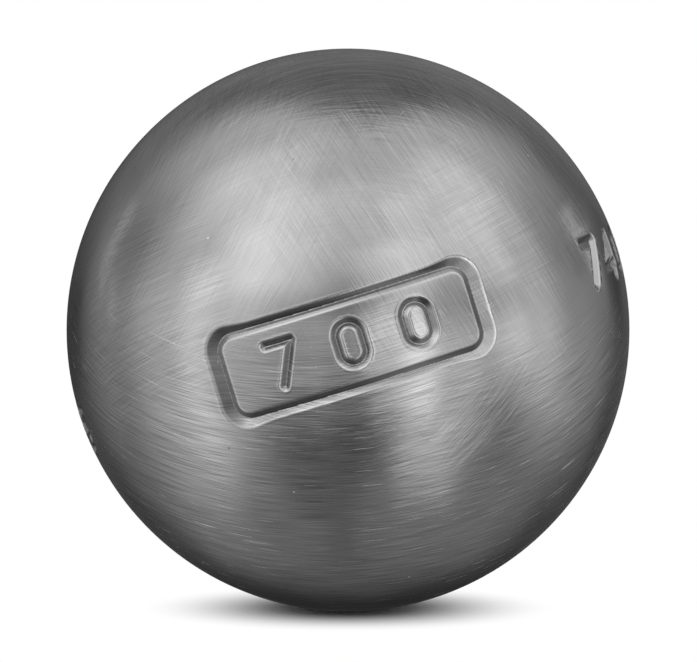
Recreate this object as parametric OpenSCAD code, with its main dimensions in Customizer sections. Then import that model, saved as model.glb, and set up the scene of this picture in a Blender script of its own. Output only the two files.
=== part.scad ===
// Petanque boule: two drawn steel half shells, butt-welded in a V groove, turned to a ball
// and stamped with plain numbers. The origin is the ball's centre, +Z is up and the framed
// mark looks along -Y.

/* [Ball] */
// Diameter of the finished ball
ball_d = 74; // [70.5:0.1:80]
// Thickness of the steel shell
wall = 6.13; // [5:0.01:8]

/* [Weld] */
// Thickness of the square land at the inside of each rim
land_h = 1.6; // [0.8:0.1:2.4]
// Gap between the two lands, filled by the root run
root_gap = 1.5; // [0.5:0.1:3]
// Angle of the bevel on each rim, away from the seam's plane
bevel_angle = 30; // [20:1:40]
// Height of the root run above the lands
root_rise = 1.3; // [0.6:0.1:2]
// Width of the bead that the root run leaves inside the ball
bead_w = 3.8; // [3.4:0.1:6]
// Height of that bead
bead_h = 0.8; // [0.4:0.1:1.4]
// Turn of the seam about the vertical; at 0 the seam faces +X
seam_turn = 45; // [0:1:180]

/* [Stamps] */
// Depth of every stamped mark below the ball's surface
stamp_depth = 0.45; // [0.2:0.05:0.8]
// Width of a stamped stroke
stroke_w = 1.1; // [0.6:0.05:1.3]
// Height of a digit
digit_h = 6.4; // [5.5:0.1:7]
// Width of a digit
digit_w = 4.4; // [4:0.1:5]
// Tilt of the band of marks against the horizontal
band_tilt = 17; // [0:1:45]

/* [Framed mark] */
// Distance from one framed digit to the next
framed_pitch = 8.6; // [6.5:0.1:9]
// Length of the frame, over its outer edge
frame_l = 34; // [32:0.5:38]
// Height of the frame, over its outer edge
frame_h = 12.4; // [11:0.1:14]
// Width of the frame's groove
frame_w = 1.4; // [0.8:0.1:1.6]
// Outer radius of the frame's corners
frame_r = 3; // [2:0.1:4.5]
// Turn of the framed mark about the vertical
framed_turn = 0.6; // [-10:0.1:10]
// Lift of the framed mark above the horizontal
framed_lift = 2.9; // [-10:0.1:10]

/* [Side marks] */
// Distance along the band from one side digit to the next
side_pitch = 6.2; // [5.6:0.1:8]
// Way along the band from the framed mark to the first digit of the diameter
diameter_at = 39.7; // [36:0.1:48]
// Way along the band from the framed mark to the last digit of the hardness
hardness_at = 51.5; // [48:0.1:58]
// Distance that the hardness number sits below the band's middle
hardness_drop = 2.2; // [0:0.1:4]

/* [Hidden] */
$fn = 160;

ball_r = ball_d / 2;
inner_r = ball_r - wall;
root_top_r = inner_r + land_h + root_rise;
overrun = 1;

// The number in the frame is the ball's mass in grams. Those beside it are its diameter in tenths
// of a millimetre and its Rockwell hardness.
mass_digits = [7, 0, 0];
diameter_digits = [7, 4, 0];
hardness_digits = [3, 5];
// Shares of a digit's width or height that place its inner strokes
seven_foot_share = 0.3;
four_stem_share = 0.14;
four_bar_share = 0.24;
five_bowl_share = 0.6;
slant_share = 1.2;
slant_w = stroke_w * slant_share;

// The seam's own frame: +Z is the seam's axis and points into the rear half
module at_seam() {
    rotate([0, 0, seam_turn])
        rotate([0, 90, 0])
            children();
}

// The space that the two prepared rims leave between them, as a ring around the seam's axis
module weld_groove() {
    half_gap = root_gap / 2;
    inside = inner_r - bead_h / 2;
    land_top = inner_r + land_h;
    outside = ball_r + overrun;
    half_mouth = half_gap + (outside - land_top) * tan(bevel_angle);
    rotate_extrude()
        polygon([
            [inside, -half_gap],
            [land_top, -half_gap],
            [outside, -half_mouth],
            [outside, half_mouth],
            [land_top, half_gap],
            [inside, half_gap],
        ]);
}

// A half shell on the side of the seam that side names, 1 for the rear and -1 for the front
module half_shell(side) {
    at_seam()
        difference() {
            sphere(r = ball_r);
            sphere(r = inner_r);
            weld_groove();
            rotate([side < 0 ? 0 : 180, 0, 0])
                cylinder(r = ball_r + overrun, h = ball_r + overrun);
        }
}

// A box with round corners, as a flat shape
module rounded_box(l, h, r) {
    square([l, h - 2 * r], center = true);
    square([l - 2 * r, h], center = true);
    for (x = [-1, 1], y = [-1, 1])
        translate([x * (l / 2 - r), y * (h / 2 - r)])
            circle(r = r);
}

// The groove of the frame around the framed mark, as a flat shape
module frame_outline() {
    difference() {
        rounded_box(frame_l, frame_h, frame_r);
        rounded_box(frame_l - 2 * frame_w, frame_h - 2 * frame_w, frame_r - frame_w);
    }
}

// A flat stroke from one corner to the other
module bar(from, to) {
    translate(from)
        square(to - from);
}

// The right half of a ring, whose straight side stands on the vertical through its centre
module bowl(r) {
    intersection() {
        difference() {
            circle(r = r);
            circle(r = r - stroke_w);
        }
        translate([0, -r])
            square([r, 2 * r]);
    }
}

// An upright box with round ends, as a flat shape
module oblong(w, h) {
    square([w, h - w], center = true);
    for (y = [-1, 1])
        translate([0, y * (h - w) / 2])
            circle(d = w);
}

module digit_zero() {
    difference() {
        oblong(digit_w, digit_h);
        oblong(digit_w - 2 * stroke_w, digit_h - 2 * stroke_w);
    }
}

// The digit 3 is three bars whose right ends two bowls join
module digit_three() {
    r = (digit_h + stroke_w) / 4;
    bend_x = digit_w / 2 - r;
    for (y = [-1, 0, 1])
        translate([0, y * (digit_h - stroke_w) / 2])
            bar([-digit_w / 2, -stroke_w / 2], [bend_x, stroke_w / 2]);
    for (y = [-1, 1])
        translate([bend_x, y * (digit_h / 2 - r)])
            bowl(r);
}

module digit_four() {
    stem_x = digit_w * four_stem_share;
    bar_y = digit_h * (four_bar_share - 1 / 2);
    bar([stem_x, -digit_h / 2], [stem_x + stroke_w, digit_h / 2]);
    bar([-digit_w / 2, bar_y], [digit_w / 2, bar_y + stroke_w]);
    polygon([
        [-digit_w / 2, bar_y + stroke_w / 2],
        [-digit_w / 2 + slant_w, bar_y + stroke_w / 2],
        [stem_x + stroke_w, digit_h / 2],
        [stem_x + stroke_w - slant_w, digit_h / 2],
    ]);
}

// The digit 5 is a bar, a stem below its left end and a bowl that the stem leads into
module digit_five() {
    r = digit_h * five_bowl_share / 2;
    bend_x = digit_w / 2 - r;
    bowl_y = r - digit_h / 2;
    bar([-digit_w / 2, digit_h / 2 - stroke_w], [digit_w / 2, digit_h / 2]);
    bar([-digit_w / 2, bowl_y + r - stroke_w], [-digit_w / 2 + stroke_w, digit_h / 2]);
    bar([-digit_w / 2, bowl_y + r - stroke_w], [bend_x, bowl_y + r]);
    bar([-digit_w / 2, -digit_h / 2], [bend_x, -digit_h / 2 + stroke_w]);
    translate([bend_x, bowl_y])
        bowl(r);
}

module digit_seven() {
    foot_x = -digit_w * seven_foot_share;
    bar([-digit_w / 2, digit_h / 2 - stroke_w], [digit_w / 2, digit_h / 2]);
    polygon([
        [foot_x, -digit_h / 2],
        [foot_x + slant_w, -digit_h / 2],
        [digit_w / 2, digit_h / 2 - stroke_w / 2],
        [digit_w / 2 - slant_w, digit_h / 2 - stroke_w / 2],
    ]);
}

module digit(n) {
    if (n == 0) digit_zero();
    if (n == 3) digit_three();
    if (n == 4) digit_four();
    if (n == 5) digit_five();
    if (n == 7) digit_seven();
}

// Presses a flat shape into the ball, way along the band and up across it, both in millimetres
module stamp(way = 0, up = 0) {
    turn_per_mm = 360 / (PI * ball_d);
    rotate([0, 0, framed_turn])
        rotate([90 - framed_lift, 0, 0])
            rotate([0, 0, band_tilt])
                rotate([0, way * turn_per_mm, 0])
                    rotate([-up * turn_per_mm, 0, 0])
                        difference() {
                            linear_extrude(ball_r + overrun)
                                children();
                            sphere(r = ball_r - stamp_depth);
                        }
}

// The mass in its frame, pressed by one flat die
module framed_mark() {
    middle = (len(mass_digits) - 1) / 2;
    stamp() {
        frame_outline();
        for (i = [0 : len(mass_digits) - 1])
            translate([(i - middle) * framed_pitch, 0])
                digit(mass_digits[i]);
    }
}

// The diameter, a digit at a time from left to right, over the right limb
module diameter_mark() {
    for (i = [0 : len(diameter_digits) - 1])
        stamp(way = diameter_at + i * side_pitch)
            digit(diameter_digits[i]);
}

// The hardness, a digit at a time from right to left, beyond the left limb
module hardness_mark() {
    last = len(hardness_digits) - 1;
    for (i = [0 : last])
        stamp(way = -hardness_at - (last - i) * side_pitch, up = -hardness_drop)
            digit(hardness_digits[i]);
}

// The marks go in once the ball is welded and turned, so they are cut from whatever lies there
module stamped() {
    difference() {
        children();
        framed_mark();
        diameter_mark();
        hardness_mark();
    }
}

module front_half_shell() {
    color("silver")
        stamped()
            half_shell(-1);
}

module rear_half_shell() {
    color("darkgray")
        stamped()
            half_shell(1);
}

// Fills the gap between the lands and stands proud inside as a rounded bead
module weld_root_run() {
    bead_r = (pow(bead_w / 2, 2) + pow(bead_h, 2)) / (2 * bead_h);
    color("dimgray")
        at_seam() {
            intersection() {
                weld_groove();
                sphere(r = root_top_r);
            }
            intersection() {
                rotate_extrude()
                    translate([inner_r - bead_h + bead_r, 0])
                        circle(r = bead_r);
                sphere(r = inner_r);
            }
        }
}

// Fills the rest of the groove, turned flush with the ball
module weld_cap_run() {
    color("lightgray")
        stamped()
            at_seam()
                difference() {
                    intersection() {
                        weld_groove();
                        sphere(r = ball_r);
                    }
                    sphere(r = root_top_r);
                }
}

front_half_shell();
rear_half_shell();
weld_root_run();
weld_cap_run();
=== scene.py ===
import math

import bpy
import numpy as np
from mathutils import Matrix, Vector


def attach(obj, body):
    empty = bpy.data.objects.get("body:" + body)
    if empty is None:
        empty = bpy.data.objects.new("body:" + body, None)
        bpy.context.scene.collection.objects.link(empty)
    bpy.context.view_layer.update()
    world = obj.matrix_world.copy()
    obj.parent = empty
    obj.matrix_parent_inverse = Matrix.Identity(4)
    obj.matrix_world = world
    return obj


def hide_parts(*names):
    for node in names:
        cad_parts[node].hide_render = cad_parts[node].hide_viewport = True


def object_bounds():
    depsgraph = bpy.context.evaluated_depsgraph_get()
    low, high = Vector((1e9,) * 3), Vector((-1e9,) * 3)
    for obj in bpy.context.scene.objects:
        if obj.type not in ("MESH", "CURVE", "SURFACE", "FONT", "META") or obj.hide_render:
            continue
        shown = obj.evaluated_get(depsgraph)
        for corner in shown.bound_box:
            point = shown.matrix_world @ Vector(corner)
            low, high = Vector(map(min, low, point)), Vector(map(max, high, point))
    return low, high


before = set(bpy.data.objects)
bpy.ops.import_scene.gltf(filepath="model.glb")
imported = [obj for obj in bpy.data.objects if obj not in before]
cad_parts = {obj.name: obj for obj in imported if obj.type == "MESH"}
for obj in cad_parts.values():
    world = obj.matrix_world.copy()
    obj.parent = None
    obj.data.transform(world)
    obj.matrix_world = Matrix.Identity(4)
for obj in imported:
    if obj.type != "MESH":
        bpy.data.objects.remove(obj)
cad_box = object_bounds()

# Camera.
# It stands half a metre in front of the ball and a little above it, with a long lens, and looks at
# the ball's centre. In the photograph, 697 pixels wide, the ball's radius is 281.5 pixels and its
# centre lies up to a pixel off the frame's middle.
MM = 0.001
BALL_R = cad_box[1].z
IMAGE_W = 697
BALL_PX = 281.5
CENTRE_OFF_PX = (0.5, -1.0)
CAMERA_WAY = 500 * MM
CAMERA_LIFT = math.radians(5.5)
SENSOR_W = 36.0

bpy.ops.object.select_all(action="DESELECT")
bpy.ops.object.camera_add(
    location=(0, -CAMERA_WAY * math.cos(CAMERA_LIFT), CAMERA_WAY * math.sin(CAMERA_LIFT)),
    rotation=(math.pi / 2 - CAMERA_LIFT, 0, 0),
)
camera = bpy.context.object
camera.name = "camera"
focal_px = BALL_PX * math.sqrt(CAMERA_WAY**2 - BALL_R**2) / BALL_R
camera.data.sensor_width = SENSOR_W
camera.data.lens = focal_px * SENSOR_W / IMAGE_W
camera.data.shift_x = CENTRE_OFF_PX[0] / IMAGE_W
camera.data.shift_y = CENTRE_OFF_PX[1] / IMAGE_W
bpy.context.scene.camera = camera
bpy.context.scene.view_settings.view_transform = "Standard"

# Half shells.
# Each is a disc of hardened carbon steel, forged and drawn to a half sphere. Its rim is turned to a
# square land at the inside and a bevel outside it, ready for the weld. The welded ball is turned
# and polished, and the plain numbers are then pressed in with steel punches.
WALL = 6.13 * MM
LAND_H = 1.6 * MM
HALF_GAP = 0.75 * MM
BEVEL = math.radians(30)
SEAM_TURN = math.radians(45)
INNER_R = BALL_R - WALL
LAND_TOP_R = INNER_R + LAND_H
BEVEL_ROUNDS = 40


def bevel_end(radius):
    """Where the bevel meets a sphere of this radius: its height over the seam, its way off the axis."""
    height = HALF_GAP
    for _ in range(BEVEL_ROUNDS):
        rho = math.sqrt(radius**2 - height**2)
        height = HALF_GAP + (rho - LAND_TOP_R) * math.tan(BEVEL)
    return height, rho


MOUTH_H, MOUTH_R = bevel_end(BALL_R)

# Sizes of the punches, in millimetres on their flat faces, and the shares of a digit's width or
# height that place its inner strokes
DIGIT_H = 6.4
DIGIT_W = 4.4
STROKE_W = 1.1
FOUR_STEM_SHARE = 0.14
FOUR_BAR_SHARE = 0.24
FIVE_BOWL_SHARE = 0.6
SEVEN_FOOT_SHARE = 0.3
SEVEN_SLANT_SHARE = 1.2
ARC_POINTS = 40


def arc(x, y, radius, start, end):
    """Points along an arc about (x, y), from one angle to another in degrees."""
    turns = np.radians(np.linspace(start, end, ARC_POINTS))
    return [(x + radius * math.cos(turn), y + radius * math.sin(turn)) for turn in turns]


def digit_paths(digit):
    """The middle lines of a digit's strokes, about the digit's centre."""
    right = (DIGIT_W - STROKE_W) / 2
    high = (DIGIT_H - STROKE_W) / 2
    left = -right
    low = -high
    if digit == 0:
        straight = (DIGIT_H - DIGIT_W) / 2
        top = arc(0, straight, right, 0, 180)
        bottom = arc(0, -straight, right, 180, 360)
        return [top + bottom + top[:1]]
    if digit == 3:
        bend = high / 2
        upper = [(left, high)] + arc(right - bend, bend, bend, 90, -90) + [(left + STROKE_W, 0)]
        lower = arc(right - bend, -bend, bend, 90, -90) + [(left, low)]
        return [upper, lower]
    if digit == 4:
        stem = DIGIT_W * FOUR_STEM_SHARE + STROKE_W / 2
        bar = DIGIT_H * (FOUR_BAR_SHARE - 1 / 2) + STROKE_W / 2
        return [[(stem, low), (stem, high), (left, bar), (right, bar)]]
    if digit == 5:
        bend = (DIGIT_H * FIVE_BOWL_SHARE - STROKE_W) / 2
        bowl = arc(right - bend, low + bend, bend, 90, -90)
        return [[(right, high), (left, high), (left, low + 2 * bend)] + bowl + [(left, low)]]
    foot = STROKE_W * SEVEN_SLANT_SHARE / 2 - DIGIT_W * SEVEN_FOOT_SHARE
    return [[(left, high), (right, high), (foot, low)]]


def way_to_paths(at, paths):
    """The distance from each point to the nearest of the lines."""
    nearest = np.full(len(at), np.inf)
    for path in paths:
        corners = np.array(path)
        for start, end in zip(corners[:-1], corners[1:]):
            run = end - start
            share = np.clip((at - start) @ run / (run @ run), 0, 1)
            off = at - start - share[:, None] * run
            nearest = np.minimum(nearest, np.hypot(off[:, 0], off[:, 1]))
    return nearest


def ease(value):
    """A smooth step from 0 to 1."""
    t = np.clip(value, 0, 1)
    return t * t * (3 - 2 * t)


def above(value, soft):
    """The value where it is over zero, and otherwise zero, with a soft corner between them."""
    return (value + np.sqrt(value**2 + soft**2)) / 2


# A stroke is a V with a rounded foot and rounded shoulders, and a thin lip stands beside it, where
# the punch pushed the steel aside. The V is deeper and wider than the plain slot in the solids, so
# that its walls catch the light as they do on the real ball. Widths and depths are in millimetres.
STROKE_DEPTH = 0.6
FRAMED_STROKE_W = 1.35
SIDE_STROKE_W = 1.8
STROKE_FOOT = 0.06
STROKE_SHOULDER = 0.09
LIP_H = 0.03
LIP_W = 0.13


def stroke_relief(way, width):
    """Depth and lip of a punched stroke, by the distance from its middle line."""
    half = width / 2
    share = 1 - np.sqrt(way**2 + STROKE_FOOT**2) / half
    depth = STROKE_DEPTH * above(share, STROKE_SHOULDER)
    lip = LIP_H * np.exp(-(((way - half - LIP_W) / LIP_W) ** 2))
    return depth, lip


# The frame's groove is a V as well, with a wall on either side of its middle line. A flat die
# meets a ball at a slant at its two ends, so the outer wall lies flatter there.
FRAME_L = 34.0
FRAME_H = 12.4
FRAME_GROOVE = 1.4
FRAME_R = 3.0
FRAME_DEPTH = 0.62
INNER_WALL = 0.85
OUTER_WALL = 0.7
END_SPREAD = 0.9
GROOVE_FOOT = 0.05
INNER_SHOULDER = 0.1
OUTER_SHOULDER = 0.05
FRAME_LIP_H = 0.01


def way_to_frame(at):
    """The distance from the middle line of the frame's groove, negative inside the frame."""
    half = np.array([FRAME_L - FRAME_GROOVE, FRAME_H - FRAME_GROOVE]) / 2
    radius = FRAME_R - FRAME_GROOVE / 2
    corner = np.abs(at) - half + radius
    return np.hypot(*np.maximum(corner, 0).T) + np.minimum(corner.max(1), 0) - radius


def frame_relief(at):
    """Depth and lip of the frame's groove."""
    way = way_to_frame(at)
    ends = ease((np.abs(at[:, 0]) - FRAME_L / 2 + 2 * FRAME_R) / (2 * FRAME_R))
    outer = OUTER_WALL * (1 + END_SPREAD * ends)
    wall = np.where(way < 0, INNER_WALL, outer)
    share = 1 - np.sqrt(way**2 + GROOVE_FOOT**2) / wall
    depth = FRAME_DEPTH * above(share, np.where(way < 0, INNER_SHOULDER, OUTER_SHOULDER))
    lip = FRAME_LIP_H * np.exp(-(((way - outer - LIP_W) / LIP_W) ** 2))
    return depth, lip


# The marks lie on one tilted band around the ball. Ways along and across it are in millimetres. The
# numbers are the mass in grams in the frame, the diameter in tenths of a millimetre to its right,
# and the Rockwell hardness to its left, whose digits are listed from right to left.
MASS_DIGITS = (7, 0, 0)
DIAMETER_DIGITS = (7, 4, 0)
HARDNESS_DIGITS = (5, 3)
BAND_TILT = math.radians(17)
FRAMED_TURN = math.radians(0.6)
FRAMED_LIFT = math.radians(2.9)
FRAMED_PITCH = 8.6
SIDE_PITCH = 6.2
DIAMETER_AT = 39.7
HARDNESS_AT = 51.5
HARDNESS_DROP = 2.2


def punch_place(way, up):
    """The turn that takes a punch's own frame to the ball's, for a way along the band and up it."""
    per_mm = MM / BALL_R
    return (
        Matrix.Rotation(FRAMED_TURN, 3, "Z")
        @ Matrix.Rotation(math.pi / 2 - FRAMED_LIFT, 3, "X")
        @ Matrix.Rotation(BAND_TILT, 3, "Z")
        @ Matrix.Rotation(way * per_mm, 3, "Y")
        @ Matrix.Rotation(-up * per_mm, 3, "X")
    )


def punches():
    """Each punch as its place, the lines of its strokes and whether it carries the frame."""
    middle = (len(MASS_DIGITS) - 1) / 2
    framed = [
        [(x + (i - middle) * FRAMED_PITCH, y) for x, y in path]
        for i, digit in enumerate(MASS_DIGITS)
        for path in digit_paths(digit)
    ]
    made = [(punch_place(0, 0), framed, True)]
    for i, digit in enumerate(DIAMETER_DIGITS):
        made.append((punch_place(DIAMETER_AT + i * SIDE_PITCH, 0), digit_paths(digit), False))
    for i, digit in enumerate(HARDNESS_DIGITS):
        place = punch_place(-HARDNESS_AT - i * SIDE_PITCH, -HARDNESS_DROP)
        made.append((place, digit_paths(digit), False))
    return made


# How far the frame's corners lie from its middle, with a margin for its lip, and the depth at which
# a lip is gone where it would stand in another groove
PUNCHES = punches()
MARGIN = 2
REACH = math.hypot(FRAME_L, FRAME_H) / 2 + MARGIN
LIP_GONE_AT = 0.1125


def marks(co):
    """Depth and lip of the punched marks at points of the ball, in millimetres."""
    depth = np.zeros(len(co))
    lip = np.zeros(len(co))
    for place, paths, framed in PUNCHES:
        local = co @ np.array(place) / MM
        reach = REACH if framed else DIGIT_H
        near = (local[:, 2] > 0) & (np.hypot(local[:, 0], local[:, 1]) < reach)
        at = local[near, :2]
        width = FRAMED_STROKE_W if framed else SIDE_STROKE_W
        parts = [stroke_relief(way_to_paths(at, paths), width)]
        if framed:
            parts.append(frame_relief(at))
        for part_depth, part_lip in parts:
            depth[near] = np.maximum(depth[near], part_depth)
            lip[near] = np.maximum(lip[near], part_lip)
    return depth, lip * (1 - ease(depth / LIP_GONE_AT))


def relief(co):
    """Height of the punched marks over the ball at points of its surface, in metres."""
    depth, lip = marks(co)
    return (lip - depth) * MM


def outward(co):
    """The direction from the ball's centre to each point."""
    return co / np.linalg.norm(co, axis=1, keepdims=True)


# The slope of the marks is taken over short steps along two directions in the surface, the first of
# which is square to a fixed direction that points away from all marks
SLOPE_STEP = 0.012 * MM
OFF_MARKS = (0.31, 0.22, 0.92)


def relief_normals(co):
    """The surface's normal at each point of the ball, tilted by the slope of the marks."""
    out = outward(co)
    side = outward(np.cross(out, OFF_MARKS))
    normal = out.copy()
    for way in (side, np.cross(out, side)):
        rise = relief(co + way * SLOPE_STEP) - relief(co - way * SLOPE_STEP)
        normal -= way * (rise / (2 * SLOPE_STEP))[:, None]
    return outward(normal)


def points_of(mesh):
    """The mesh's points, as rows of numbers."""
    co = np.empty(len(mesh.vertices) * 3, np.float32)
    mesh.vertices.foreach_get("co", co)
    return co.reshape(-1, 3).astype(float)


def put_points(mesh, co):
    """Moves the mesh's points to these places."""
    mesh.vertices.foreach_set("co", co.ravel().astype(np.float32))


def corners_of(mesh, what):
    """The point or edge that each corner of the mesh's faces belongs to."""
    found = np.empty(len(mesh.loops), np.int32)
    mesh.loops.foreach_get(what, found)
    return found


def select_faces(piece, chosen):
    """Selects the faces that chosen says, and enters edit mode."""
    mesh = piece.data
    corners = np.repeat(chosen, [polygon.loop_total for polygon in mesh.polygons])
    points = np.zeros(len(mesh.vertices), bool)
    points[corners_of(mesh, "vertex_index")[corners]] = True
    lines = np.zeros(len(mesh.edges), bool)
    lines[corners_of(mesh, "edge_index")[corners]] = True
    mesh.polygons.foreach_set("select", chosen)
    mesh.vertices.foreach_set("select", points)
    mesh.edges.foreach_set("select", lines)
    bpy.ops.object.mode_set(mode="EDIT")
    bpy.ops.mesh.select_mode(type="FACE")


# Points within the skin are the turned outside. The slack is for points that should lie on one
# plane or on each other. Faces that meet at more than the sharp angle show an edge.
SKIN = 0.2 * MM
SLACK = 0.001 * MM
SHARP = math.radians(30)


def on_ball(co):
    """True for the points of the turned outside."""
    return np.linalg.norm(co, axis=1) > BALL_R - SKIN


def set_outer_normals(piece, outer, normals):
    """Gives the faces of the turned outside the normals of its true shape, and leaves the rest."""
    mesh = piece.data
    custom = np.zeros((len(mesh.loops), 3))
    points = corners_of(mesh, "vertex_index")
    for polygon in mesh.polygons:
        corners = slice(polygon.loop_start, polygon.loop_start + polygon.loop_total)
        if outer[points[corners]].all():
            custom[corners] = normals[points[corners]]
    mesh.normals_split_custom_set(custom)


# The faces within each of these distances of a mark are cut this often, so that its walls come out
# smooth. The frame's groove counts as this share of its width to either side of its middle line.
FINER_NEAR_MARKS = ((1.2 * MM, 1), (0.45 * MM, 2))
GROOVE_EDGE_SHARE = 0.8


def near_marks(co, reach):
    """True for points within reach of a groove or its lip."""
    near = np.zeros(len(co), bool)
    for place, paths, framed in PUNCHES:
        local = BALL_R * outward(co) @ np.array(place) / MM
        close = (local[:, 2] > 0) & (np.hypot(local[:, 0], local[:, 1]) < REACH + MARGIN)
        at = local[close, :2]
        way = way_to_paths(at, paths) - STROKE_W / 2
        if framed:
            way = np.minimum(way, np.abs(way_to_frame(at)) - FRAME_GROOVE * GROOVE_EDGE_SHARE)
        near[close] |= way * MM < reach
    return near


# A last, light belt runs over the marks. It brightens their shoulders down to a small depth. The deep
# walls of the grooves that face down and to the right get painted shade: they are drawn in a dull dark
# grey. Depths are in millimetres.
SHADED_WAY = (0.5, 0, -0.85)
SHADED_WAY_FROM = -0.45
SHADED_WAY_OVER = 0.8
PAINTED_SHADE_FROM = 0.03
PAINTED_SHADE_OVER = 0.12
BURNISHED_AT = 0.05
BURNISH_OVER = 0.1


def press_marks(shell):
    """Presses the marks into a shell, and stores their painted shade and burnish on its points."""
    for reach, cuts in FINER_NEAR_MARKS:
        middle = np.array([polygon.center for polygon in shell.data.polygons])
        select_faces(shell, on_ball(middle) & near_marks(middle, reach))
        bpy.ops.mesh.subdivide(number_cuts=cuts)
        bpy.ops.object.mode_set(mode="OBJECT")
        co = points_of(shell.data)
        outer = on_ball(co)
        co[outer] = BALL_R * outward(co[outer])
        put_points(shell.data, co)

    depth = np.zeros(len(co))
    depth[outer] = marks(co[outer])[0]
    normals = np.zeros_like(co)
    normals[outer] = relief_normals(co[outer])
    out = outward(co)
    tilt = normals - out * (normals * out).sum(1, keepdims=True)
    # Painted shade: deep groove walls that face down and to the right are marked to be drawn dark grey
    shaded_side = ease((tilt @ SHADED_WAY - SHADED_WAY_FROM) / SHADED_WAY_OVER)
    painted_groove_shade = ease((depth - PAINTED_SHADE_FROM) / PAINTED_SHADE_OVER) * shaded_side
    burnish = ease(depth / BURNISHED_AT) * (1 - ease((depth - BURNISHED_AT) / BURNISH_OVER))
    for name, values in (("painted_groove_shade", painted_groove_shade), ("burnish", burnish)):
        stored = shell.data.attributes.new(name, "FLOAT", "POINT")
        stored.data.foreach_set("value", values)

    co[outer] *= (1 + relief(co[outer]) / BALL_R)[:, None]
    put_points(shell.data, co)
    shell.data.update()
    bpy.ops.object.shade_smooth_by_angle(angle=SHARP)
    set_outer_normals(shell, outer, normals)


OUTER_STEPS = 7
BORE_STEPS = 6


def half_shell(name, turn):
    """One half shell, made upright over the seam's plane and then turned to its place."""
    bpy.ops.object.select_all(action="DESELECT")
    bpy.ops.mesh.primitive_ico_sphere_add(subdivisions=OUTER_STEPS, radius=BALL_R)
    shell = bpy.context.object
    shell.name = name
    bpy.ops.object.mode_set(mode="EDIT")
    bpy.ops.mesh.select_all(action="SELECT")
    bpy.ops.mesh.bisect(plane_co=(0, 0, MOUTH_H), plane_no=(0, 0, 1), clear_inner=True)
    bpy.ops.object.mode_set(mode="OBJECT")
    co = points_of(shell.data)
    rim = np.abs(co[:, 2] - MOUTH_H) < SLACK
    co[rim, :2] *= (MOUTH_R / np.hypot(co[rim, 0], co[rim, 1]))[:, None]
    put_points(shell.data, co)
    bpy.ops.object.mode_set(mode="EDIT")
    bpy.ops.mesh.select_mode(type="EDGE")
    bpy.ops.mesh.select_all(action="DESELECT")
    bpy.ops.mesh.select_non_manifold(extend=False)
    bpy.ops.mesh.mark_sharp()
    bpy.ops.mesh.extrude_edges_move()
    bpy.ops.transform.resize(value=(LAND_TOP_R / MOUTH_R, LAND_TOP_R / MOUTH_R, 1))
    bpy.ops.transform.translate(value=(0, 0, HALF_GAP - MOUTH_H))
    bpy.ops.object.mode_set(mode="OBJECT")

    bpy.ops.object.select_all(action="DESELECT")
    bpy.ops.mesh.primitive_ico_sphere_add(subdivisions=BORE_STEPS, radius=INNER_R)
    bpy.ops.object.mode_set(mode="EDIT")
    bpy.ops.mesh.select_all(action="SELECT")
    bpy.ops.mesh.bisect(plane_co=(0, 0, HALF_GAP), plane_no=(0, 0, 1), clear_inner=True)
    bpy.ops.object.mode_set(mode="OBJECT")
    shell.select_set(True)
    bpy.context.view_layer.objects.active = shell
    bpy.ops.object.join()
    bpy.ops.object.mode_set(mode="EDIT")
    bpy.ops.mesh.select_mode(type="EDGE")
    bpy.ops.mesh.select_all(action="DESELECT")
    bpy.ops.mesh.select_non_manifold(extend=False)
    bpy.ops.mesh.bridge_edge_loops()
    bpy.ops.mesh.select_all(action="SELECT")
    bpy.ops.mesh.normals_make_consistent(inside=False)
    bpy.ops.object.mode_set(mode="OBJECT")
    shell.rotation_euler = (0, turn, SEAM_TURN)
    bpy.ops.object.transform_apply(rotation=True)
    press_marks(shell)
    return shell


front_half_shell = half_shell("front_half_shell_steel", -math.pi / 2)
rear_half_shell = half_shell("rear_half_shell_steel", math.pi / 2)


def linear(hex_colour):
    """The linear colour of an sRGB hex value."""
    parts = [int(hex_colour[i : i + 2], 16) / 255 for i in (1, 3, 5)]
    return [p / 12.92 if p <= 0.04045 else ((p + 0.055) / 1.055) ** 2.4 for p in parts] + [1]


def new_material(name):
    """An empty material and its nodes."""
    material = bpy.data.materials.new(name)
    material.use_nodes = True
    material.node_tree.nodes.clear()
    return material, material.node_tree


def add_node(tree, kind, inputs, output=0, **settings):
    """Adds a node, sets its properties, sets or links its inputs, and returns one of its outputs."""
    made = tree.nodes.new("ShaderNode" + kind)
    for name, value in settings.items():
        setattr(made, name, value)
    for name, value in inputs.items():
        if isinstance(value, bpy.types.NodeSocket):
            tree.links.new(value, made.inputs[name])
        else:
            made.inputs[name].default_value = value
    return made.outputs[output] if len(made.outputs) else None


SMOOTH = "SMOOTHSTEP"


def span(value, start, end, low=0.0, high=1.0):
    """The inputs that make a Map Range node go from low to high as value goes from start to end."""
    return {"Value": value, "From Min": start, "From Max": end, "To Min": low, "To Max": high}


def direction(lift, azimuth):
    """The way that a lift and an azimuth in degrees point; azimuth 0 is the front."""
    lift = math.radians(lift)
    azimuth = math.radians(azimuth)
    return (
        math.cos(lift) * math.sin(azimuth),
        -math.cos(lift) * math.cos(azimuth),
        math.sin(lift),
    )


def along(belt, run, pitch, shift=0.0):
    """The inputs of a Mapping node in whose space marks are run millimetres long and pitch wide."""
    return {
        "Location": (shift * BALL_R, shift * BALL_R, shift * BALL_R),
        "Rotation": (math.radians(90 - belt[0]), 0, math.radians(belt[1])),
        "Scale": (run * MM, run * MM, pitch * MM),
    }


def flecks(tree, place, belt, run, pitch, shift=0.0, detail=1.0):
    """Noise whose flecks are run millimetres long around a belt's axis and pitch wide along it."""
    at = {"Vector": place, **along(belt, run, pitch, shift)}
    at = add_node(tree, "Mapping", at, vector_type="TEXTURE")
    return add_node(tree, "TexNoise", {"Vector": at, "Scale": 1.0, "Detail": detail}, "Fac")


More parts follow.
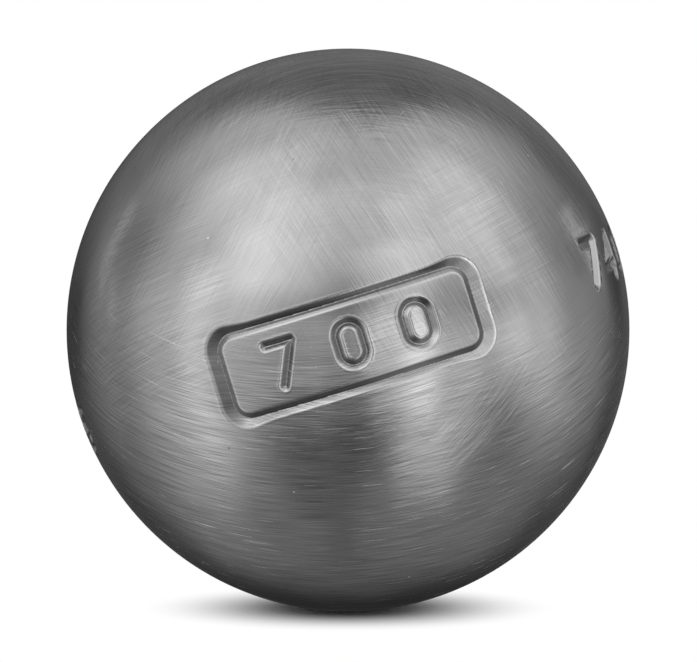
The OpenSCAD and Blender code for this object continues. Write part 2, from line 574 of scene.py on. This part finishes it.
# Each polishing belt leaves lines along circles about its own axis. They are 6 mm long and 0.095 mm
# apart, about twice as coarse as the real ones, which are too fine to show. Others of twice that
# pitch cross them at six degrees. Noise swings about its middle value.
LINE_PITCH = 0.095
LINE_RUN = 6
LINE_DEPTH = 0.021 * MM
CROSSING = math.tan(math.radians(6))
COARSER = 0.5
NOISE_MID = 0.5


def hairlines(tree, place, coarse):
    """Fine lines in a belt's own coordinates, and a share of coarser ones that cross them."""
    parts = add_node(tree, "SeparateXYZ", {0: place}).node.outputs
    lean = add_node(tree, "Math", {0: parts["X"], 1: parts["Y"]}, operation="ADD")
    turned = {0: lean, 1: CROSSING * LINE_RUN / LINE_PITCH, 2: parts["Z"]}
    lean = add_node(tree, "Math", turned, operation="MULTIPLY_ADD")
    lean = add_node(tree, "Math", {0: lean, 1: COARSER}, operation="MULTIPLY")
    crossing = add_node(tree, "CombineXYZ", {0: parts["X"], 1: parts["Y"], 2: lean})
    fine = add_node(tree, "TexNoise", {"Vector": place, "Scale": 1.0, "Detail": 0.0}, "Fac")
    fine = add_node(tree, "Math", {0: fine, 1: NOISE_MID}, operation="SUBTRACT")
    crossing = add_node(tree, "TexNoise", {"Vector": crossing, "Scale": 1.0, "Detail": 0.0}, "Fac")
    crossing = add_node(tree, "Math", {0: crossing, 1: NOISE_MID}, operation="SUBTRACT")
    return add_node(tree, "Math", {0: crossing, 1: coarse, 2: fine}, operation="MULTIPLY_ADD")


# The first belts ran over all of the ball, one over the lower half and one over the upper. A belt's
# axis is a lift and an azimuth in degrees. The two meet between these heights over the middle.
LOWER_AXIS = (62, -13)
UPPER_AXIS = (-13, 0)
MEET_LOW = 0.1 * BALL_R
MEET_HIGH = 0.35 * BALL_R
FIRST_COARSE = 0.5
FIRST_LEFT_AT_MEET = 0.1
# The wide areas where another belt crossed the first lines and hid some of them: its axis, the lift
# and azimuth of the area's middle, its radius in millimetres, and the strength of its lines
CROSSED = (
    ((20, 2), (60, 180), 47, 0.7),
    ((-33, 90), (35, -42), 30, 0.3),
    ((-36, -88), (33, 24), 28, 0.45),
    ((15, 150), (40, 160), 34, 0.7),
)
CROSSED_EDGE = 14
CROSSED_COARSE = 1.2
CROSSED_HIDES = 0.6
# The patches where a second belt ran: its axis, the lift and azimuth of the patch's middle, its
# radius in millimetres, the strength of its lines, and how far it turned the grain
PATCHES = (
    ((8, 77), (25, -18), 23, 0.0, 1.0),
    ((68, -123), (-8, 15), 14, 0.6, 0.7),
    ((34, -48), (-12, 30), 9, 0.8, 0.3),
    ((60, -100), (25, 33), 13, 0.5, 0.6),
    ((62, -162), (10, -45), 18, 0.5, 0.6),
    ((25, 170), (20, 95), 17, 0.7, 0.6),
    ((40, 20), (-25, 110), 15, 0.8, 0.6),
    ((15, 60), (10, 160), 18, 0.6, 0.8),
    ((65, -60), (-5, -150), 17, 0.8, 0.6),
    ((30, 100), (35, -110), 16, 0.7, 0.6),
    ((10, 90), (-60, 180), 19, 0.8, 0.6),
    ((5, 40), (75, 150), 18, 0.7, 0.6),
)
PATCH_EDGE = 8
PATCH_COARSE = 1.0
PATCH_HIDES = 0.8
# Their edges wander by a noise without grain. It is given, as the noises below, by its axis, the
# length and width of its flecks in millimetres, its shift and its detail. The shifts keep the
# patterns apart, and each area and patch gets one of its own.
WANDER = (90, 0), 7, 7, 0.4, 2.0
WANDER_WAY = 20 * MM
CROSSED_SHIFT = 0.15
NEXT_SHIFT = 0.1
# Near the top the lines stand out more
TOP_FROM = 0.6 * BALL_R
TOP_FULL = 0.85 * BALL_R
TOP_DEEPER = 1.3


def way_from(tree, place, middle, wander):
    """The distance from a point of the ball, given as lift and azimuth, to an edge that wanders."""
    spot = tuple(BALL_R * part for part in direction(*middle))
    way = add_node(tree, "VectorMath", {0: place, 1: spot}, "Value", operation="DISTANCE")
    return add_node(tree, "Math", {0: way, 1: wander}, operation="ADD")


def belt_lines(tree, place, height):
    """The height of the belts' lines, and the axis of the belt that ran last, over the ball."""
    meet = (MEET_LOW + MEET_HIGH) / 2
    upper = add_node(tree, "MapRange", span(height, MEET_LOW, MEET_HIGH), interpolation_type=SMOOTH)
    axes = {0: upper, 4: direction(*LOWER_AXIS), 5: direction(*UPPER_AXIS)}
    axis = add_node(tree, "Mix", axes, 1, data_type="VECTOR")
    over = add_node(tree, "Math", {0: height, 1: meet}, operation="GREATER_THAN")
    below_at = {"Vector": place, **along(LOWER_AXIS, LINE_RUN, LINE_PITCH)}
    below_at = add_node(tree, "Mapping", below_at, vector_type="TEXTURE")
    above_at = {"Vector": place, **along(UPPER_AXIS, LINE_RUN, LINE_PITCH)}
    above_at = add_node(tree, "Mapping", above_at, vector_type="TEXTURE")
    run_at = add_node(tree, "Mix", {0: over, 4: below_at, 5: above_at}, 1, data_type="VECTOR")
    first = hairlines(tree, run_at, FIRST_COARSE)
    off_meet = add_node(tree, "Math", {0: height, 1: meet}, operation="SUBTRACT")
    off_meet = add_node(tree, "Math", {0: off_meet}, operation="ABSOLUTE")
    kept = add_node(
        tree, "MapRange", span(off_meet, 0.0, MEET_HIGH, FIRST_LEFT_AT_MEET), interpolation_type=SMOOTH
    )
    first = add_node(tree, "Math", {0: first, 1: kept}, operation="MULTIPLY")

    wander = flecks(tree, place, *WANDER)
    wander = add_node(tree, "Math", {0: wander, 1: NOISE_MID}, operation="SUBTRACT")
    wander = add_node(tree, "Math", {0: wander, 1: WANDER_WAY}, operation="MULTIPLY")
    crossed = 0.0
    first_left = 1.0
    for number, (belt, middle, radius, strength) in enumerate(CROSSED):
        way = way_from(tree, place, middle, wander)
        inner = (radius - CROSSED_EDGE) * MM
        soft = add_node(tree, "MapRange", span(way, radius * MM, inner), interpolation_type=SMOOTH)
        shift = CROSSED_SHIFT + NEXT_SHIFT * number
        lines_at = {"Vector": place, **along(belt, LINE_RUN, LINE_PITCH, shift)}
        lines_at = add_node(tree, "Mapping", lines_at, vector_type="TEXTURE")
        strong = add_node(tree, "Math", {0: soft, 1: strength}, operation="MULTIPLY")
        lines = hairlines(tree, lines_at, CROSSED_COARSE)
        crossed = add_node(tree, "Math", {0: lines, 1: strong, 2: crossed}, operation="MULTIPLY_ADD")
        left = add_node(tree, "Math", {0: soft, 1: -CROSSED_HIDES, 2: 1.0}, operation="MULTIPLY_ADD")
        first_left = add_node(tree, "Math", {0: left, 1: first_left}, operation="MULTIPLY")
    first = add_node(tree, "Math", {0: first, 1: first_left, 2: crossed}, operation="MULTIPLY_ADD")

    patch_at = place
    within = 0.0
    for number, (belt, middle, radius, strength, turn) in enumerate(PATCHES):
        way = way_from(tree, place, middle, wander)
        inner = (radius - PATCH_EDGE) * MM
        soft = add_node(tree, "MapRange", span(way, radius * MM, inner), interpolation_type=SMOOTH)
        lines_at = {"Vector": place, **along(belt, LINE_RUN, LINE_PITCH, NEXT_SHIFT * number)}
        lines_at = add_node(tree, "Mapping", lines_at, vector_type="TEXTURE")
        inside = add_node(tree, "Math", {0: way, 1: radius * MM}, operation="LESS_THAN")
        patch_at = add_node(tree, "Mix", {0: inside, 4: patch_at, 5: lines_at}, 1, data_type="VECTOR")
        outside = add_node(tree, "Math", {0: 1.0, 1: inside}, operation="SUBTRACT")
        kept = add_node(tree, "Math", {0: within, 1: outside}, operation="MULTIPLY")
        within = add_node(tree, "Math", {0: soft, 1: strength, 2: kept}, operation="MULTIPLY_ADD")
        turned = add_node(tree, "Math", {0: soft, 1: turn}, operation="MULTIPLY")
        axis = add_node(tree, "Mix", {0: turned, 4: axis, 5: direction(*belt)}, 1, data_type="VECTOR")
    second = hairlines(tree, patch_at, PATCH_COARSE)
    second = add_node(tree, "Math", {0: second, 1: within}, operation="MULTIPLY")
    left = add_node(tree, "Math", {0: within, 1: -PATCH_HIDES, 2: 1.0}, operation="MULTIPLY_ADD")
    lines = add_node(tree, "Math", {0: first, 1: left, 2: second}, operation="MULTIPLY_ADD")
    deeper = span(height, TOP_FROM, TOP_FULL, 1.0, TOP_DEEPER)
    deeper = add_node(tree, "MapRange", deeper, interpolation_type=SMOOTH)
    return add_node(tree, "Math", {0: lines, 1: deeper}, operation="MULTIPLY"), axis


# Single scratches show where a noise comes from the first of two levels to the second, and come to
# full strength between two heights. In the lower half they are 7 mm long. In the upper half they
# are steeper, 4 mm long and fainter.
LOW_SCRATCHES = (60, -8), 7, 0.12, 0.34
LOW_LEVELS = (0.705, 0.77)
LOW_HEIGHTS = (0.2 * BALL_R, 0.0)
STEEP_SCRATCHES = (-33, 80), 4, 0.15, 0.7
STEEP_LEVELS = (0.76, 0.82)
STEEP_HEIGHTS = (0.0, 0.5 * BALL_R)
STEEP_STRENGTH = 0.4
# Pressed-in grit is drawn as one small grain in each cell of 4 mm, which shows where it lies in the
# surface. Its edge and core are shares of the cell. By the cell's random shade it is a dark pit, a
# bright dot or nothing.
GRIT_CELL = 4 * MM
SPECK_EDGE = 0.045
SPECK_CORE = 0.02
PIT_BELOW = 0.35
DOT_ABOVE = 0.65


def damage(tree, place, height):
    """The scratches with the bright specks, and the dark pits."""
    low = span(flecks(tree, place, *LOW_SCRATCHES), *LOW_LEVELS)
    low = add_node(tree, "MapRange", low, interpolation_type=SMOOTH)
    steep = span(flecks(tree, place, *STEEP_SCRATCHES), *STEEP_LEVELS)
    steep = add_node(tree, "MapRange", steep, interpolation_type=SMOOTH)
    low_share = add_node(tree, "MapRange", span(height, *LOW_HEIGHTS), interpolation_type=SMOOTH)
    steep_share = span(height, *STEEP_HEIGHTS, 0.0, STEEP_STRENGTH)
    steep_share = add_node(tree, "MapRange", steep_share, interpolation_type=SMOOTH)
    low = add_node(tree, "Math", {0: low, 1: low_share}, operation="MULTIPLY")
    steep = add_node(tree, "Math", {0: steep, 1: steep_share}, operation="MULTIPLY")
    scratch = add_node(tree, "Math", {0: low, 1: steep}, operation="MAXIMUM")

    grit = add_node(tree, "TexVoronoi", {"Vector": place, "Scale": 1 / GRIT_CELL}).node.outputs
    speck = span(grit["Distance"], SPECK_EDGE, SPECK_CORE)
    speck = add_node(tree, "MapRange", speck, interpolation_type=SMOOTH)
    is_pit = add_node(tree, "Math", {0: grit["Color"], 1: PIT_BELOW}, operation="LESS_THAN")
    is_dot = add_node(tree, "Math", {0: grit["Color"], 1: DOT_ABOVE}, operation="GREATER_THAN")
    pit = add_node(tree, "Math", {0: speck, 1: is_pit}, operation="MULTIPLY")
    dot = add_node(tree, "Math", {0: speck, 1: is_dot}, operation="MULTIPLY")
    return add_node(tree, "Math", {0: scratch, 1: dot}, operation="MAXIMUM"), pit


# The steel's two tones and the one between them, the dull grey of the pits and of the painted shade in
# the grooves, and the white of a fresh scratch
STEEL_DARK = "#a0a0a0"
STEEL_LIGHT = "#e8e8e8"
MID_TONE = 0.5
PIT_AND_SHADE_GREY = "#6c6c6c"
SCRATCH_WHITE = "#ffffff"
# The tangent runs along the lines, and the reflections spread across them, a quarter turn off
ANISOTROPY = 0.85
QUARTER_TURN = 0.25
# The upper half had the finer belt, so the roughness goes from one value to the other between two
# heights. At the foot it falls to half.
ROUGH_LOW = 0.21
ROUGH_HIGH = 0.10
ROUGH_HEIGHTS = (-0.1 * BALL_R, 0.4 * BALL_R)
FOOT_HEIGHTS = (-0.95 * BALL_R, -0.7 * BALL_R)
FOOT_SHARE = 0.5
# What clouds 12 mm wide, the painted shade in the grooves and scratches add to the roughness
CLOUD = (90, 0), 12, 12, 0.7, 3.0
CLOUD_ROUGH = 0.06
PAINTED_SHADE_ROUGH = 0.08
SCRATCH_ROUGH = 0.3
# How much the lines shade the colour in the lower half, in the upper half and more at the top, and what
# scratches, burnish, clouds, pits and the painted shade in the grooves do to it
SHADE_HEIGHTS = (-0.2 * BALL_R, 0.4 * BALL_R)
SHADE_LOW = 1.15
SHADE_HIGH = 0.6
SHADE_TOP = 0.2
SCRATCH_SHINE = 0.5
BURNISH_SHINE = 0.5
CLOUD_SHINE = 0.4
PIT_AND_SHADE_COVER = 0.8


# The shells are hardened carbon steel with a satin polish: the ball is spun in several set-ups
# against abrasive belts. To the eye that is a grey metal with bundles of fine curved hairlines that
# cross, and with reflections that spread across the lines and stay sharper along them.
def satin_steel(name):
    """Carbon steel, turned and belt polished to a satin."""
    material, tree = new_material(name)
    place = add_node(tree, "TexCoord", {}, "Object")
    height = add_node(tree, "SeparateXYZ", {0: place}, "Z")
    lines, axis = belt_lines(tree, place, height)
    scratch, pit = damage(tree, place, height)
    cloud = flecks(tree, place, *CLOUD)
    cloud = add_node(tree, "Math", {0: cloud, 1: NOISE_MID}, operation="SUBTRACT")
    # Painted shade: the deep walls of the grooves that face down are drawn dark grey
    painted_groove_shade = add_node(tree, "Attribute", {}, "Fac", attribute_name="painted_groove_shade")
    burnish = add_node(tree, "Attribute", {}, "Fac", attribute_name="burnish")

    rough = span(height, *ROUGH_HEIGHTS, ROUGH_LOW, ROUGH_HIGH)
    rough = add_node(tree, "MapRange", rough, interpolation_type=SMOOTH)
    for what, more in ((cloud, CLOUD_ROUGH), (painted_groove_shade, PAINTED_SHADE_ROUGH), (scratch, SCRATCH_ROUGH)):
        rough = add_node(tree, "Math", {0: what, 1: more, 2: rough}, operation="MULTIPLY_ADD")
    foot = add_node(tree, "MapRange", span(height, *FOOT_HEIGHTS, FOOT_SHARE), interpolation_type=SMOOTH)
    rough = add_node(tree, "Math", {0: rough, 1: foot}, operation="MULTIPLY")

    shade = span(height, *SHADE_HEIGHTS, SHADE_LOW, SHADE_HIGH)
    shade = add_node(tree, "MapRange", shade, interpolation_type=SMOOTH)
    top = span(height, TOP_FROM, TOP_FULL, 0.0, SHADE_TOP)
    top = add_node(tree, "MapRange", top, interpolation_type=SMOOTH)
    shade = add_node(tree, "Math", {0: shade, 1: top}, operation="ADD")
    shine = add_node(tree, "Math", {0: lines, 1: shade, 2: MID_TONE}, operation="MULTIPLY_ADD")
    for what, more in ((scratch, SCRATCH_SHINE), (burnish, BURNISH_SHINE), (cloud, CLOUD_SHINE)):
        shine = add_node(tree, "Math", {0: what, 1: more, 2: shine}, operation="MULTIPLY_ADD")
    # Pits, and the painted shade in the grooves, turn the colour dull grey
    pits_and_painted_shade = add_node(tree, "Math", {0: painted_groove_shade, 1: pit}, operation="MAXIMUM")
    pits_and_painted_shade = add_node(tree, "Math", {0: pits_and_painted_shade, 1: PIT_AND_SHADE_COVER}, operation="MULTIPLY")
    colour = linear(STEEL_DARK)
    for share, tone in ((shine, STEEL_LIGHT), (scratch, SCRATCH_WHITE), (pits_and_painted_shade, PIT_AND_SHADE_GREY)):
        colour = add_node(tree, "Mix", {0: share, 6: colour, 7: linear(tone)}, 2, data_type="RGBA")

    bump = add_node(tree, "Bump", {"Strength": 1.0, "Distance": LINE_DEPTH, "Height": lines})
    tangent = add_node(tree, "VectorMath", {0: axis, 1: place}, operation="CROSS_PRODUCT")
    metal = {
        "Metallic": 1.0,
        "Anisotropic": ANISOTROPY,
        "Anisotropic Rotation": QUARTER_TURN,
        "Base Color": colour,
        "Roughness": rough,
        "Tangent": tangent,
        "Normal": bump,
    }
    add_node(tree, "OutputMaterial", {"Surface": add_node(tree, "BsdfPrincipled", metal)})
    return material


shell_steel = satin_steel("satin_polished_carbon_steel")
for shell, node in (
    (front_half_shell, "front_half_shell"),
    (rear_half_shell, "rear_half_shell"),
):
    shell.data.materials.append(shell_steel)
    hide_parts(node)
    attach(shell, "root")

# Weld cap run.
# The last runs of weld metal fill the V between the two bevels. They are turned and polished flush
# with the ball, so that the seam hardly shows.
ROOT_TOP_R = LAND_TOP_R + 1.3 * MM
CAP_TOP_POINTS = 9
CAP_ROOT_POINTS = 5
SPIN_STEPS = 720


def cap_outline():
    """The cap's section beside the seam's axis, as distance from it and height, anticlockwise."""
    root_h, _ = bevel_end(ROOT_TOP_R)
    top = np.linspace(-MOUTH_H, MOUTH_H, CAP_TOP_POINTS)
    root = np.linspace(root_h, -root_h, CAP_ROOT_POINTS)
    outside = [(math.sqrt(BALL_R**2 - z * z), z) for z in top]
    return outside + [(math.sqrt(ROOT_TOP_R**2 - z * z), z) for z in root]


outline = cap_outline()
bpy.ops.object.select_all(action="DESELECT")
bpy.ops.mesh.primitive_circle_add(vertices=len(outline), radius=BALL_R)
weld_cap = bpy.context.object
weld_cap.name = "weld_cap_run_steel"
for vertex, (rho, z) in zip(weld_cap.data.vertices, outline):
    vertex.co = (rho, 0, z)
bpy.ops.object.mode_set(mode="EDIT")
bpy.ops.mesh.select_all(action="SELECT")
bpy.ops.mesh.spin(steps=SPIN_STEPS, angle=math.tau, center=(0, 0, 0), axis=(0, 0, 1))
bpy.ops.mesh.select_all(action="SELECT")
bpy.ops.mesh.remove_doubles(threshold=SLACK)
bpy.ops.mesh.normals_make_consistent(inside=False)
bpy.ops.object.mode_set(mode="OBJECT")
weld_cap.rotation_euler = (0, math.pi / 2, SEAM_TURN)
bpy.ops.object.transform_apply(rotation=True)
bpy.ops.object.shade_smooth_by_angle(angle=SHARP)
cap_co = points_of(weld_cap.data)
set_outer_normals(weld_cap, on_ball(cap_co), outward(cap_co))
weld_cap.data.materials.append(shell_steel)
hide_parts("weld_cap_run")
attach(weld_cap, "root")

# Weld root run.
# The first run of weld metal joins the two lands and stands proud inside the ball. It keeps its
# raw, rippled skin and the tints of the heat, because nothing can reach it once the ball is closed.
RIPPLES = 162
RIPPLE_DEPTH = 0.12 * MM
RIPPLE_NOISE = (90, 0), 3, 3
RIPPLE_WANDER = 5.0
HEAT = (90, 0), 8, 8, 0.2, 2.0
OXIDE_GREY = "#97938e"
OXIDE_STRAW = "#8d8069"
OXIDE_BLUE = "#6f7684"
HEAT_TINTS = ((0.4, 0.55, OXIDE_STRAW), (0.55, 0.7, OXIDE_BLUE))
HEAT_LEVELS = (0.3, 0.7)
ROUGH_CLEAN = 0.42
ROUGH_OXIDE = 0.58


# The metal is mild steel filler, left as it froze behind the torch. To the eye it is a dull grey
# metal with a ripple each 1.2 mm of the run, and patches of straw and blue 8 mm wide.
def raw_weld_metal(name):
    """Filler steel as it froze, with ripples and heat tints."""
    material, tree = new_material(name)
    place = add_node(tree, "TexCoord", {}, "Object")
    seam = {"Vector": place, "Rotation": (0, math.pi / 2, SEAM_TURN)}
    at_seam = add_node(tree, "Mapping", seam, vector_type="TEXTURE")
    parts = add_node(tree, "SeparateXYZ", {0: at_seam}).node.outputs
    turn = add_node(tree, "Math", {0: parts["Y"], 1: parts["X"]}, operation="ARCTAN2")
    wander = flecks(tree, place, *RIPPLE_NOISE)
    wander = add_node(tree, "Math", {0: wander, 1: RIPPLE_WANDER}, operation="MULTIPLY")
    ripple = add_node(tree, "Math", {0: turn, 1: RIPPLES, 2: wander}, operation="MULTIPLY_ADD")
    ripple = add_node(tree, "Math", {0: ripple}, operation="SINE")
    bump = add_node(tree, "Bump", {"Strength": 1.0, "Distance": RIPPLE_DEPTH, "Height": ripple})

    heat = flecks(tree, place, *HEAT)
    colour = linear(OXIDE_GREY)
    for start, end, tint in HEAT_TINTS:
        share = add_node(tree, "MapRange", span(heat, start, end), interpolation_type=SMOOTH)
        colour = add_node(tree, "Mix", {0: share, 6: colour, 7: linear(tint)}, 2, data_type="RGBA")
    rough = span(heat, *HEAT_LEVELS, ROUGH_CLEAN, ROUGH_OXIDE)
    rough = add_node(tree, "MapRange", rough, interpolation_type=SMOOTH)
    metal = {"Metallic": 1.0, "Base Color": colour, "Normal": bump, "Roughness": rough}
    add_node(tree, "OutputMaterial", {"Surface": add_node(tree, "BsdfPrincipled", metal)})
    return material


root_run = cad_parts["weld_root_run"]
root_run.data.materials.clear()
root_run.data.materials.append(raw_weld_metal("raw_weld_metal_heat_tinted"))

# Floor.
# The ball stands on plain white paper, which shows the dark of its contact. From a short way off
# the paper is drawn plain white, so the shadow fades out in an oval about the contact.
FLOOR_W = 3
PAPER = "#f8f8f8"
WHITE = "#ffffff"
SHADOW_IN = 7.5 * MM
SHADOW_OUT = 28 * MM
SHADOW_SQUEEZE = 1.5

bpy.ops.object.select_all(action="DESELECT")
bpy.ops.mesh.primitive_plane_add(size=FLOOR_W, location=(0, 0, -BALL_R))
floor = bpy.context.object
floor.name = "floor"
bpy.ops.object.transform_apply(location=True)
paper, paper_tree = new_material("white_paper")
paper_place = add_node(paper_tree, "TexCoord", {}, "Object")
oval = add_node(
    paper_tree, "VectorMath", {0: paper_place, 1: (1, SHADOW_SQUEEZE, 0)}, operation="MULTIPLY"
)
away = add_node(paper_tree, "VectorMath", {0: oval}, "Value", operation="LENGTH")
bleached = add_node(
    paper_tree, "MapRange", span(away, SHADOW_IN, SHADOW_OUT), interpolation_type=SMOOTH
)
# It is white to the camera, to metal and to glass only, so the ball gets no light from that white
rays = add_node(paper_tree, "LightPath", {}).node.outputs
seen = 0.0
for ray in ("Is Camera Ray", "Is Glossy Ray", "Is Transmission Ray"):
    seen = add_node(paper_tree, "Math", {0: rays[ray], 1: seen}, operation="MAXIMUM")
share = add_node(paper_tree, "Math", {0: bleached, 1: seen}, operation="MULTIPLY")
matt = add_node(paper_tree, "BsdfDiffuse", {"Color": linear(PAPER)})
glow = add_node(paper_tree, "Emission", {"Color": linear(WHITE), "Strength": 1.0})
surface = add_node(paper_tree, "MixShader", {0: share, 1: matt, 2: glow})
add_node(paper_tree, "OutputMaterial", {"Surface": surface})
floor.data.materials.append(paper)
floor.visible_glossy = False

# Light tent.
# A photographer's dome of white cloth, lit through soft panels, stands around the ball. Only the
# metal shows it. Each panel has the azimuth and the lift of its middle, its half width and half
# height and how far its edge fades, all in degrees, and its strength. One below zero is a dark flag.
TENT_R = 1.2
TENT_SEGMENTS = 64
TENT_RINGS = 32
TENT_BASE = 0.09
PANELS = (
    # The sheet overhead, the upper dome, the table and the two side walls
    (-5, 86, 140, 49, 45, 0.4),
    (0, 90, 200, 85, 25, 0.12),
    (0, -85, 150, 42, 20, 0.11),
    (-95, -20, 32, 35, 30, 0.17),
    (92, -10, 30, 18, 60, 0.4),
    # On the left: two upright sheets and the brighter spots on them
    (-65, 15, 27, 60, 30, 0.3),
    (-30, 15, 17, 45, 18, 0.3),
    (-62, -10, 8, 35, 12, 0.35),
    (-42, 15, 8, 10, 8, 0.12),
    (-36, 27, 8, 7, 8, 0.07),
    (-74, 53, 6, 5, 8, 0.09),
    (-93, 53, 12, 9, 8, 0.04),
    (-100, -4, 6, 6, 6, 0.05),
    # In front: bright strips and sheets about the camera, and two dark flags
    (-10, 30, 50, 12, 14, 0.27),
    (25, 54, 38, 12, 3, 0.12),
    (18, 19, 13, 20, 3, 0.22),
    (21, -6, 13, 19, 6, 0.62),
    (-3, -8, 12, 19, 8, 0.25),
    (2, 21, 6, 7, 6, -0.1),
    (-15, -85, 25, 64, 5, -0.06),
    # On the right: a low sheet, an upright one and the panels between them
    (40, -25, 17, 30, 13, 0.5),
    (75, 25, 18, 42, 18, 0.3),
    (35, 30, 15, 28, 3, 0.18),
    (45, 33, 12, 7, 3, 0.2),
    (62, 32, 13, 14, 4, 0.24),
    (67, 0, 9, 6, 6, 0.3),
    (79, 47, 6, 6, 8, 0.1),
    (107, 65, 20, 7, 6, 0.03),
    # Behind on the right: narrow strips that draw thin bright lines near the limb, and flags
    (122, 19, 1.5, 4, 3, 0.6),
    (126, 11, 1.5, 5, 3, 0.65),
    (114, 14, 5, 4, 4, -0.06),
    (144, 16, 12, 15, 8, -0.08),
    (141, -8, 8, 12, 8, -0.05),
    (143, 48, 10, 9, 6, -0.03),
    (147, 59, 12, 5, 5, -0.03),
    # Behind on the left: narrow strips that draw thin bright lines near the limb, and flags
    (-93, 4, 1.5, 4, 3, 0.12),
    (-111, 4, 1.5, 4, 3, 0.22),
    (-123, 15, 1.5, 9, 4, 0.26),
    (-108, 15, 12, 10, 8, -0.045),
    (-115, -34, 10, 12, 12, -0.04),
    (-145, 34, 16, 14, 12, -0.05),
    (-160, 3, 22, 14, 12, -0.055),
    (-143, 48, 10, 9, 6, -0.02),
    (-148, 56, 12, 6, 6, -0.06),
    # Behind: flags, with a bright strip above them and a pale field below
    (180, 84, 40, 7.5, 4, 0.24),
    (0, 90, 180, 11, 8, -0.035),
    (180, 58, 30, 7, 5, -0.03),
    (180, 45, 35, 14, 12, -0.035),
    (180, -28, 12, 16, 12, -0.02),
    (180, -34, 40, 18, 16, -0.045),
    (180, -82, 30, 20, 18, 0.06),
)

bpy.ops.object.select_all(action="DESELECT")
bpy.ops.mesh.primitive_uv_sphere_add(
    segments=TENT_SEGMENTS, ring_count=TENT_RINGS, radius=TENT_R
)
tent = bpy.context.object
tent.name = "light_tent"
cloth, cloth_tree = new_material("tent_cloth")
cloth_place = add_node(cloth_tree, "TexCoord", {}, "Object")
pointing = add_node(cloth_tree, "VectorMath", {0: cloth_place}, operation="NORMALIZE")
parts = add_node(cloth_tree, "SeparateXYZ", {0: pointing}).node.outputs
forward = add_node(cloth_tree, "Math", {0: parts["Y"], 1: -1.0}, operation="MULTIPLY")
azimuth = add_node(cloth_tree, "Math", {0: parts["X"], 1: forward}, operation="ARCTAN2")
lift = add_node(cloth_tree, "Math", {0: parts["Z"]}, operation="ARCSINE")


def band(angle, middle, half, soft):
    """1 where an angle lies within half of the middle and 0 further off, with a soft edge."""
    off = add_node(cloth_tree, "Math", {0: angle, 1: math.radians(middle)}, operation="SUBTRACT")
    off = add_node(cloth_tree, "Math", {0: off, 1: math.pi, 2: -math.pi}, operation="WRAP")
    off = add_node(cloth_tree, "Math", {0: off}, operation="ABSOLUTE")
    edge = span(off, math.radians(half + soft / 2), math.radians(half - soft / 2))
    return add_node(cloth_tree, "MapRange", edge, interpolation_type=SMOOTH)


level = TENT_BASE
for panel_azimuth, panel_lift, half_wide, half_high, soft, strength in PANELS:
    across = band(azimuth, panel_azimuth, half_wide, soft)
    upright = band(lift, panel_lift, half_high, soft)
    panel = add_node(cloth_tree, "Math", {0: across, 1: upright}, operation="MULTIPLY")
    level = add_node(cloth_tree, "Math", {0: panel, 1: strength, 2: level}, operation="MULTIPLY_ADD")
# Tent light that the metal throws on the paper would wash out the shadow, so it is left out
bounces = add_node(cloth_tree, "LightPath", {}, "Diffuse Depth")
off_paper = add_node(cloth_tree, "Math", {0: bounces, 1: 0.5}, operation="LESS_THAN")
level = add_node(cloth_tree, "Math", {0: level, 1: off_paper}, operation="MULTIPLY")
lit_cloth = add_node(cloth_tree, "Emission", {"Strength": level})
add_node(cloth_tree, "OutputMaterial", {"Surface": lit_cloth})
cloth.cycles.emission_sampling = "NONE"
tent.data.materials.append(cloth)
tent.visible_camera = False
tent.visible_diffuse = False
tent.visible_transmission = False
tent.visible_shadow = False

# World.
# A plain white room at strength 1 lights the paper and stands behind the ball.
world = bpy.data.worlds.new("white_room")
bpy.context.scene.world = world
world.use_nodes = True
world.node_tree.nodes.clear()
room = add_node(world.node_tree, "Background", {"Color": linear(WHITE), "Strength": 1.0})
add_node(world.node_tree, "OutputWorld", {"Surface": room})
